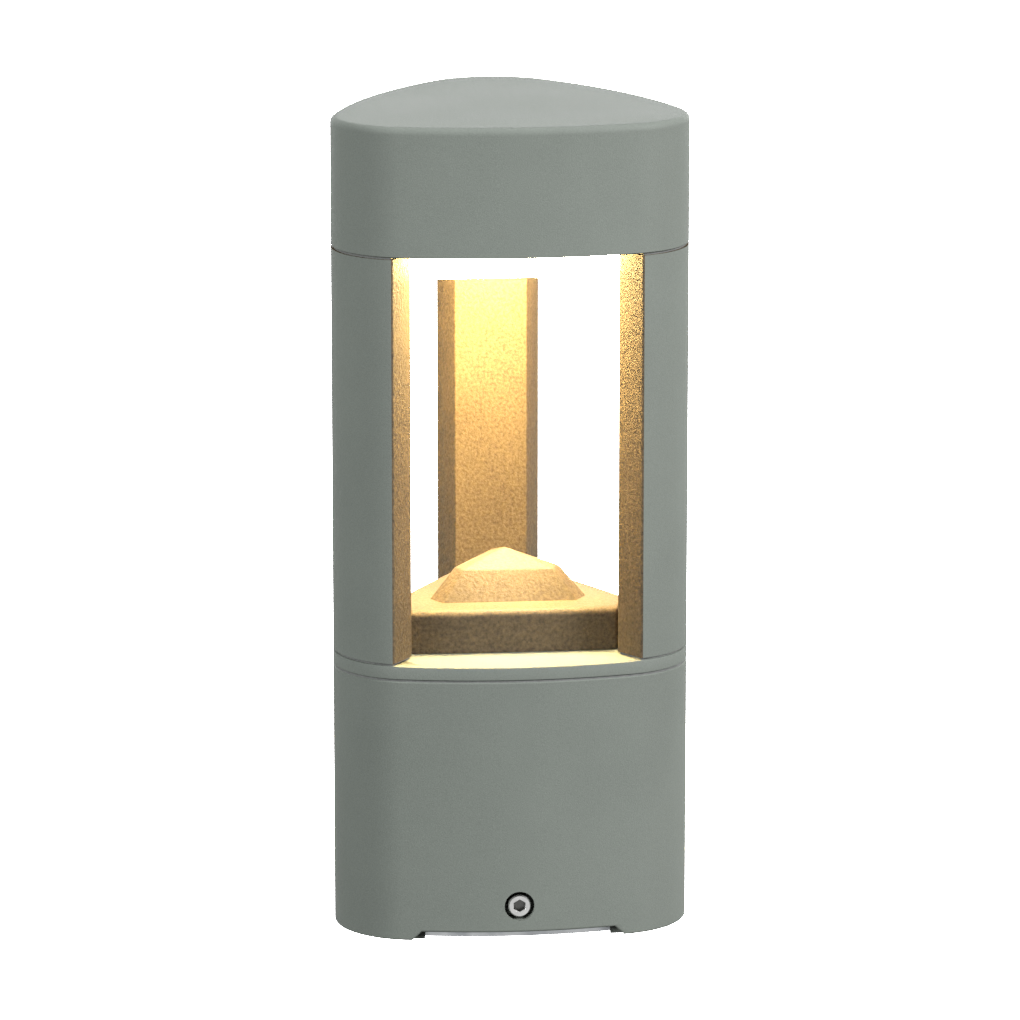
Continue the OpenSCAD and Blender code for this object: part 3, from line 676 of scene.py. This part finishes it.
# The coarse grain is the coat's own; its dark brown colour is painted shade and warm lamp light.
shaded_sand_paint = powder_coat("shaded_sand_paint", (0.040, 0.0285, 0.0155), (0.108, 0.078, 0.043), 900.0, 0.0004, 0.3)
plinth_low, plinth_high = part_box("plinth")
upright_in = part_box("upright_back")[0].y
plinth_face = upright_in - 2.7 * mm


def plinth_plan(inset=0.0, corner=2.0 * mm):
    face, half, middle = plinth_face - inset, 7.5 * mm - inset / 2, side_face - 22.8 * mm - inset
    end = Vector((face * cos(pi / 6) - half * sin(pi / 6), -face * sin(pi / 6) - half * cos(pi / 6)))
    rise = middle + end.y
    bow = (end.x ** 2 + rise ** 2) / (2 * rise)
    spread = atan2(end.x, bow - rise)
    side = [Vector((bow * sin(spread * t / 10), bow - middle - bow * cos(spread * t / 10)))
            for t in range(-10, 11)]
    return rounded(thirds(side), corner)


def plinth():
    edge, bottom, top = 2.7 * mm, plinth_low.z, plinth_high.z
    outer = [(plinth_plan(0.25 * mm), bottom), (plinth_plan(), bottom + 0.25 * mm),
             (plinth_plan(), top - edge - 0.3 * mm)]
    for i in range(7):
        a = pi / 2 * i / 6
        outer.append((plinth_plan(edge * (1 - cos(a))), top - edge * (1 - sin(a))))
    hollow = [(plinth_plan(3 * mm), top - edge - 3 * mm), (plinth_plan(3 * mm), bottom)]
    piece = loft("plinth_visual", hollow + outer)
    cone_y = upright_in - 15 * mm
    bosses = three_of(lambda: rod("boss", 5 * mm, (0, cone_y, bottom), (0, cone_y, top - edge - 2 * mm)))
    combine(piece, bosses, "UNION")
    cuts = three_of(
        lambda: rod("bore", 2.1 * mm, (0, cone_y, bottom - mm), (0, cone_y, top - edge - 1.5 * mm))
    )
    cuts.append(rod("middle", 2.8 * mm, (0, 0, bottom), (0, 0, top + mm)))
    return smooth(combine(piece, cuts, "DIFFERENCE"))


dress(plinth(), shaded_sand_paint, "root", "textured_paint", "plinth")
paint_node("plinth_screws", stainless)

# ---------------------------------------------------------------- pyramid
# A solid three-sided casting with steep faces, a low crown and a small flat at its tip. Its
# corners are cut and its edges eased by the coat.


def pyramid():
    low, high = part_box("pyramid")
    crown = 5 * mm
    shoulder = Vector((19 * mm - 10.8 * mm / 3 ** 0.5, high.z - crown))
    foot, tip = Vector((19 * mm, low.z)), Vector((1 * mm, high.z))
    before = shoulder + (foot - shoulder).normalized() * 0.7 * mm
    after = shoulder + (tip - shoulder).normalized() * 0.7 * mm
    line = [foot, before]
    for i in range(1, 5):
        t = i / 4
        line.append(before.lerp(shoulder, t).lerp(shoulder.lerp(after, t), t))
    line += [tip + Vector((1.2 * mm, -0.5 * mm)), tip + Vector((0.4 * mm, -0.1 * mm)), tip]

    def plan(reach):
        x = reach * (3 ** 0.5 - 0.44)
        return rounded(thirds([Vector((-x, -reach)), Vector((x, -reach))]), min(0.8 * mm, reach * 0.3))

    piece = loft("pyramid_visual", [(plan(p.x), p.y) for p in line])
    bore = rod("bore", 2.6 * mm, (0, 0, low.z - mm), (0, 0, low.z + 9 * mm))
    return smooth(combine(piece, [bore], "DIFFERENCE"), 25)


dress(pyramid(), shaded_sand_paint, "root", "textured_paint", "pyramid")
paint_node("pyramid_screw", stainless)

# ---------------------------------------------------------------- uprights and their seals
# Three hollow aluminium extrusions with a flat inner face, splayed sides and a round outer face
# that carries on the body's corner. The round face has the smooth coat and the rest the coarse
# one, whose dark brown colour is painted shade and warm light. A tie rod runs through each, and
# rubber seals close its ends.
splay = radians(26)
for name in ("upright_foot_seals", "upright_head_seals"):
    paint_node(name, rubber)


def upright_plan(inset=0.0):
    near = upright_in + inset
    half = 13.5 * mm - inset / cos(splay) + inset * tan(splay)

    def room(p, margin=0.0):
        return half + (p.y - near) * tan(splay) - margin - abs(p.x)

    outline = [p for p in body_plan(inset, 72, 80) if p.y > near]
    kept = [p for p in outline if room(p, 1.2 * mm) > 0]
    ends = []
    for a, b in zip(outline, outline[1:]):
        if room(a) * room(b) < 0:
            ends.append(a.lerp(b, room(a) / (room(a) - room(b))))
    right, left = sorted(ends, key=lambda p: -p.x)
    return [Vector((-half, near)), Vector((half, near)), right, *kept, left]


def upright(name, k):
    low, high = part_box("upright_back")[0].z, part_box("upright_back")[1].z
    skin = rounded(upright_plan(), 0.9 * mm)
    piece = prism(name, skin, low, high)
    core = rod("core", 5 * mm, (0, rod_y, low - mm), (0, rod_y, high + mm), 48)
    web_corners = ((-1.25, rod_y), (1.25, rod_y), (1.25, 0.08), (-1.25, 0.08))
    web = prism("web", [Vector((x * mm, y)) for x, y in web_corners],
                low - mm, high + mm)
    inside = prism("space", upright_plan(2.5 * mm), low - mm / 2, high + mm / 2)
    space = combine(inside, [core, web], "DIFFERENCE")
    bore = rod("bore", rod_radius + 0.3 * mm, (0, rod_y, low - mm), (0, rod_y, high + mm))
    combine(piece, [space, bore], "DIFFERENCE")
    piece.data.transform(third_turn(k))
    return smooth(piece, 40)


for k, side in enumerate(("back", "left", "right")):
    piece = upright(f"upright_{side}_visual", k)
    dress(piece, shaded_sand_paint, "root", "textured_paint", f"upright_{side}")
    piece.data.materials.append(housing_paint)
    for face in piece.data.polygons:
        if on_outline(face.center):
            face.material_index = 1

# ---------------------------------------------------------------- plate under the head
# The plate that closes the head from below, with the rounded triangular opening for the diffuser
# and six sunk screws. Painted like the head.


def triangle(corner, radius, steps=24):
    """A rounded triangle with straight sides and its corners at 90, 210 and 330 degrees."""
    points = []
    for k in range(3):
        a = radians(120 * k - 30)
        points += arc((corner * cos(a), corner * sin(a)), radius, a - pi / 3, 2 * pi / 3, steps)
        b = a + pi / 3
        points.append(Vector((corner * cos(a) + radius * cos(b), corner * sin(a) + radius * sin(b))))
    return points


diffuser_low, diffuser_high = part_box("diffuser")
flange = 3 * mm
diffuser_radius = 16 * mm
diffuser_corner = diffuser_high.y - flange - diffuser_radius
plate_low, plate_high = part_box("head_plate")
ledge_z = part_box("head_plate_gasket")[1].z
sunk_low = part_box("head_plate_screws")[0].z


def head_plate():
    low, high = plate_low.z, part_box("head_plate_gasket")[0].z
    ease = 0.3 * mm
    piece = loft("head_plate_visual", [
        (body_plan(3.3 * mm + ease), low), (body_plan(3.3 * mm), low + ease), (body_plan(3.3 * mm), high)])
    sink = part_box("heat_sink")[1].x - 4 * mm
    bosses = three_of(lambda: rod("boss", 4.2 * mm, (0, -sink, low + mm), (0, -sink, plate_high.z)))
    combine(piece, bosses, "UNION")
    cuts = [prism("opening", triangle(diffuser_corner, diffuser_radius + 0.3 * mm), low - mm, high + mm)]
    cuts += three_of(
        lambda: rod("rod_hole", rod_radius + 0.3 * mm, (0, rod_y, low - mm), (0, rod_y, high + mm))
    )
    cuts += three_of(lambda: rod("bore", 2.05 * mm, (0, -sink, low + mm), (0, -sink, plate_high.z + mm)))
    for x in (-plate_screw_x, plate_screw_x):
        cuts += three_of(
            lambda: rod("hole", 2.3 * mm, (x, -plate_screw_y, low - mm), (x, -plate_screw_y, high + mm))
        )
        cuts += three_of(lambda: rod("sunk", 4.1 * mm, (x, -plate_screw_y, low - 0.1 * mm),
                                     (x, -plate_screw_y, low + 2.1 * mm), far_radius=2.0 * mm))
    cuts.append(rod("lead_hole", 3.45 * mm, (lead_x, lead_y, low - mm), (lead_x, lead_y, high + mm)))
    return smooth(combine(piece, cuts, "DIFFERENCE"))


def sunk_screw(name, width, length, head_width, key):
    """A sunk-head screw that hangs head down with the flat of its head at height 0."""
    r, cone = width / 2, (head_width - width) / 2
    return loft(name, [
        (ring(r - 0.4 * mm), length), (ring(r), length - 0.5 * mm),
        (ring(r), cone), (ring(head_width / 2), 0),
        (hexagon(key), 0), (hexagon(key), cone * 0.8)])


plate_screw_y = side_face - 11.6 * mm
plate_screw_x = sqrt((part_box("heat_sink")[1].x + 5.5 * mm) ** 2 - plate_screw_y ** 2)
dress(head_plate(), housing_paint, "root", "housing_paint", "head_plate")
pair = []
for x in (-plate_screw_x, plate_screw_x):
    screw = sunk_screw("screw", 4 * mm, 14 * mm, 8 * mm, 2.5 * mm)
    screw.data.transform(Matrix.Translation((x, -plate_screw_y, sunk_low)))
    pair.append(screw)
plate_screws = join("head_plate_screws_visual", pair)
dress(repeat(plate_screws, 3, stainless), stainless, "root", "stainless_steel", "head_plate_screws")
for name in ("head_plate_gasket", "diffuser_gasket"):
    paint_node(name, rubber)

# ---------------------------------------------------------------- diffuser
# An opal cup with a soft lower edge that hangs below the plate on a flange. The lamp is lit: the
# whole cup glows a warm white, and a whiter beam comes straight down from the reflector.


def opal():
    mat = new_material("opal_diffuser")
    at = link_object_coords(mat, (1.0, 1.0, 1.0))
    links, shader = mat.node_tree.links, shader_of(mat)
    cloud = noise(mat, at, 30.0, detail=2.0)
    links.new(ramp(mat, cloud, [(0.3, (0.86, 0.84, 0.80)), (0.7, (0.92, 0.90, 0.86))]),
              shader.inputs["Base Color"])
    links.new(ramp(mat, cloud, [(0.3, (1.0, 0.71, 0.29)), (0.7, (1.0, 0.72, 0.30))]),
              shader.inputs["Emission Color"])
    shader.inputs["Emission Strength"].default_value = 155.0
    shader.inputs["Roughness"].default_value = 0.35
    return mat


def diffuser():
    def plan(grow):
        return triangle(diffuser_corner, diffuser_radius + grow)

    wall, edge, bottom, top = 2.5 * mm, 2 * mm, diffuser_low.z, diffuser_high.z
    rings = [(plan(-wall), bottom + wall), (plan(-wall), top), (plan(flange), top), (plan(flange), ledge_z),
             (plan(0), ledge_z)]
    for i in range(7):
        a = pi / 2 * i / 6
        rings.append((plan(-edge * (1 - cos(a))), bottom + edge * (1 - sin(a))))
    return smooth(loft("diffuser_visual", rings))


dress(diffuser(), opal(), "root", "opal_diffuser", "diffuser")
beam = bpy.data.lights.new("lamp_beam", "AREA")
beam.shape = "DISK"
beam.size = 50 * mm
beam.spread = radians(45)
beam.energy = 0.07
beam.color = (1.0, 0.86, 0.64)
beam_lamp = bpy.data.objects.new("lamp_beam", beam)
beam_lamp.location = (0, 0, diffuser_low.z - 0.5 * mm)
beam_lamp.visible_camera = False
bpy.context.scene.collection.objects.link(beam_lamp)

# ---------------------------------------------------------------- lamp
# Inside the head, out of sight from most sides: the clamp and finned heat sink of bare aluminium,
# and the white LED board with its emitter and reflector cup.
aluminium = finish("bare_aluminium", (0.50, 0.51, 0.52), (0.62, 0.63, 0.64), 220.0, 0.42, metal=1.0)
for name in ("diffuser_clamp", "heat_sink"):
    paint_node(name, aluminium)
for name in ("heat_sink_screws", "led_board_screws"):
    paint_node(name, stainless)
paint_node("led_board", finish("white_board", (0.76, 0.76, 0.74), (0.84, 0.84, 0.82), 400.0, 0.4))
paint_node("led_emitter", finish("led_phosphor", (0.72, 0.50, 0.06), (0.82, 0.60, 0.09), 900.0, 0.5))
white_plastic = finish("white_plastic", (0.74, 0.74, 0.72), (0.82, 0.82, 0.80), 260.0, 0.35)
paint_node("reflector_cup", white_plastic)

# ---------------------------------------------------------------- head shell
# The hollow cast head, on the same plan as the base. Its top edge is rounded, its underside has a
# ledge for the plate, and bosses inside take the tie rods and the plate's screws.


def head_shell():
    low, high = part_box("head_shell")
    edge, lip, ledge = 2.5 * mm, 0.3 * mm, 6.5 * mm
    roof = high.z - 4 * mm
    rings = [
        (body_plan(ledge), roof), (body_plan(ledge), ledge_z), (body_plan(3 * mm), ledge_z),
        (body_plan(3 * mm), low.z), (body_plan(lip), low.z), (body_plan(), low.z + lip),
    ]
    rings += [(body_plan(), low.z + 2 * lip), (body_plan(), high.z - edge - lip)]
    for i in range(9):
        a = pi / 2 * i / 8
        rings.append((body_plan(edge * (1 - cos(a))), high.z - edge * (1 - sin(a))))
    rings.append((body_plan(edge + lip), high.z))
    piece = loft("head_shell_visual", rings)
    bosses = three_of(lambda: rod("rod_boss", 6.5 * mm, (0, rod_y, ledge_z), (0, rod_y, roof + mm)))
    for x in (-plate_screw_x, plate_screw_x):
        bosses += three_of(lambda: rod("boss", 4.5 * mm, (x, -plate_screw_y, ledge_z),
                                       (x, -plate_screw_y, ledge_z + 16 * mm)))
    combine(piece, bosses, "UNION")
    cuts = three_of(lambda: rod("rod_bore", rod_radius + 0.05 * mm, (0, rod_y, ledge_z - mm),
                                (0, rod_y, ledge_z + 22 * mm)))
    for x in (-plate_screw_x, plate_screw_x):
        cuts += three_of(lambda: rod("bore", 2.05 * mm, (x, -plate_screw_y, ledge_z - mm),
                                     (x, -plate_screw_y, ledge_z + 13 * mm)))
    return smooth(combine(piece, cuts, "DIFFERENCE"))


dress(head_shell(), housing_paint, "root", "housing_paint", "head_shell")

# ---------------------------------------------------------------- wiring
# In the base, out of sight: the driver on its zinc-plated bracket, the connection box with its
# terminal block, and the gland for the supply cable.
black_plastic = finish("black_plastic", (0.014, 0.014, 0.015), (0.026, 0.026, 0.028), 260.0, 0.45)
grey_plastic = finish("grey_plastic", (0.30, 0.31, 0.32), (0.37, 0.38, 0.39), 260.0, 0.42)
for name in ("led_lead", "lead_grommets", "mains_link", "gland_seal"):
    paint_node(name, rubber)
for name in ("bracket_screws", "driver_screws", "box_lid_screws", "box_screws"):
    paint_node(name, stainless)
for name in ("connection_box", "connection_box_lid"):
    paint_node(name, grey_plastic)
for name in ("gland_body", "gland_locknut", "gland_cap"):
    paint_node(name, black_plastic)
for name in ("driver_case", "terminal_block"):
    paint_node(name, white_plastic)

bpy.context.view_layer.update()
